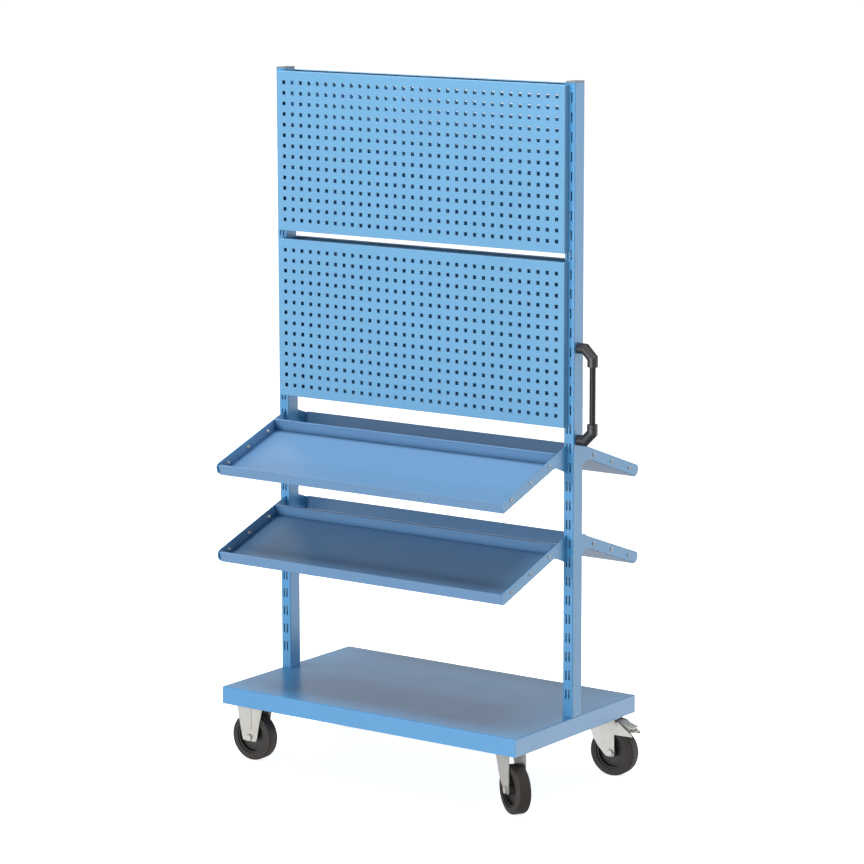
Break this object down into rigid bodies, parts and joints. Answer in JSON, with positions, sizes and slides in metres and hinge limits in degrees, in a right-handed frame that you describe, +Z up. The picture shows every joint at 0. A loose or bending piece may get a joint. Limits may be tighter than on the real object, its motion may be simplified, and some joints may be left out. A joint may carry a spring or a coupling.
{
  "type": "pegboard tool cart",
  "caption": "Wheeled tool cart: flat deck, slotted posts with square-hole peg panels on both sides, sloping trays below, a side grip, fixed and swivel casters with a brake.",
  "frame": {"origin": "floor point under the middle of the whole object", "axes": "+Z up, +X towards the grip and the swivel casters, +Y towards the rear of the cart"},
  "size_m": [1.0255, 0.6382, 1.863],
  "materials": {
    "deck_paint": "gloss",
    "frame_paint": "satin",
    "panel_paint": "satin",
    "shelf_paint": "satin",
    "zinc": "zinc plated",
    "grey_plastic": "matte",
    "black_plastic": "matte",
    "grip_paint": "satin",
    "wheel_centre": "matte",
    "tyre_rubber": "matte rubber"
  },
  "bodies": {
    "frame": {"axle_front_left": "zinc", "axle_rear_left": "zinc", "bracket_front_left_lower": "shelf_paint", "bracket_front_left_upper": "shelf_paint", "bracket_front_right_lower": "shelf_paint", "bracket_front_right_upper": "shelf_paint", "bracket_rear_left_lower": "shelf_paint", "bracket_rear_left_upper": "shelf_paint", "bracket_rear_right_lower": "shelf_paint", "bracket_rear_right_upper": "shelf_paint", "caster_bolts": "zinc", "caster_channel_left": "frame_paint", "caster_channel_right": "frame_paint", "deck": "deck_paint", "deck_stiffener": "frame_paint", "fork_front_left": "zinc", "fork_rear_left": "zinc", "handle_elbow_lower": "black_plastic", "handle_elbow_upper": "black_plastic", "handle_screws": "zinc", "handle_tube": "grip_paint", "panel_front_lower": "panel_paint", "panel_front_upper": "panel_paint", "panel_rear_lower": "panel_paint", "panel_rear_upper": "panel_paint", "panel_rim_front_lower": "panel_paint", "panel_rim_front_upper": "panel_paint", "panel_rim_rear_lower": "panel_paint", "panel_rim_rear_upper": "panel_paint", "post_bolts": "zinc", "post_cap_left": "grey_plastic", "post_cap_right": "grey_plastic", "post_feet": "zinc", "shelf_screws_front_lower": "zinc", "shelf_screws_front_upper": "zinc", "shelf_screws_rear_lower": "zinc", "shelf_screws_rear_upper": "zinc", "swivel_plate_front_right": "zinc", "swivel_plate_rear_right": "zinc", "tray_front_lower": "shelf_paint", "tray_front_upper": "shelf_paint", "tray_rear_lower": "shelf_paint", "tray_rear_upper": "shelf_paint", "upright_left": "frame_paint", "upright_right": "frame_paint"},
    "swivel_front_right": {"axle_front_right": "zinc", "fork_front_right": "zinc"},
    "swivel_rear_right": {"axle_rear_right": "zinc", "brake_pin": "zinc", "fork_rear_right": "zinc"},
    "brake_pedal_body": {"brake_pedal": "zinc"},
    "wheel_front_left": {"hub_front_left": "wheel_centre", "tyre_front_left": "tyre_rubber"},
    "wheel_front_right": {"hub_front_right": "wheel_centre", "tyre_front_right": "tyre_rubber"},
    "wheel_rear_left": {"hub_rear_left": "wheel_centre", "tyre_rear_left": "tyre_rubber"},
    "wheel_rear_right": {"hub_rear_right": "wheel_centre", "tyre_rear_right": "tyre_rubber"}
  },
  "joints": [
    {"name": "swivel_front_right", "type": "hinge", "parent": "frame", "child": "swivel_front_right", "pos_m": [0.38475, -0.2142, 0.15], "axis": [0, 0, 1], "continuous": true},
    {"name": "wheel_spin_front_right", "type": "hinge", "parent": "swivel_front_right", "child": "wheel_front_right", "pos_m": [0.4263, -0.24017, 0.065], "axis": [0.5299, 0.848, 0], "continuous": true},
    {"name": "wheel_spin_front_left", "type": "hinge", "parent": "frame", "child": "wheel_front_left", "pos_m": [-0.44775, -0.2142, 0.065], "axis": [0, 1, 0], "continuous": true},
    {"name": "swivel_rear_right", "type": "hinge", "parent": "frame", "child": "swivel_rear_right", "pos_m": [0.38475, 0.2142, 0.15], "axis": [0, 0, 1], "continuous": true},
    {"name": "wheel_spin_rear_right", "type": "hinge", "parent": "swivel_rear_right", "child": "wheel_rear_right", "pos_m": [0.43363, 0.21762, 0.065], "axis": [-0.0698, 0.9976, 0], "continuous": true},
    {"name": "wheel_spin_rear_left", "type": "hinge", "parent": "frame", "child": "wheel_rear_left", "pos_m": [-0.44775, 0.2142, 0.065], "axis": [0, 1, 0], "continuous": true},
    {"name": "brake_pedal_tip", "type": "hinge", "parent": "swivel_rear_right", "child": "brake_pedal_body", "pos_m": [0.44859, 0.21866, 0.144], "axis": [-0.0698, 0.9976, 0], "range_deg": [0, 13], "stiffness_Nm_per_rad": 0.4, "springref_deg": -11.46}
  ]
}
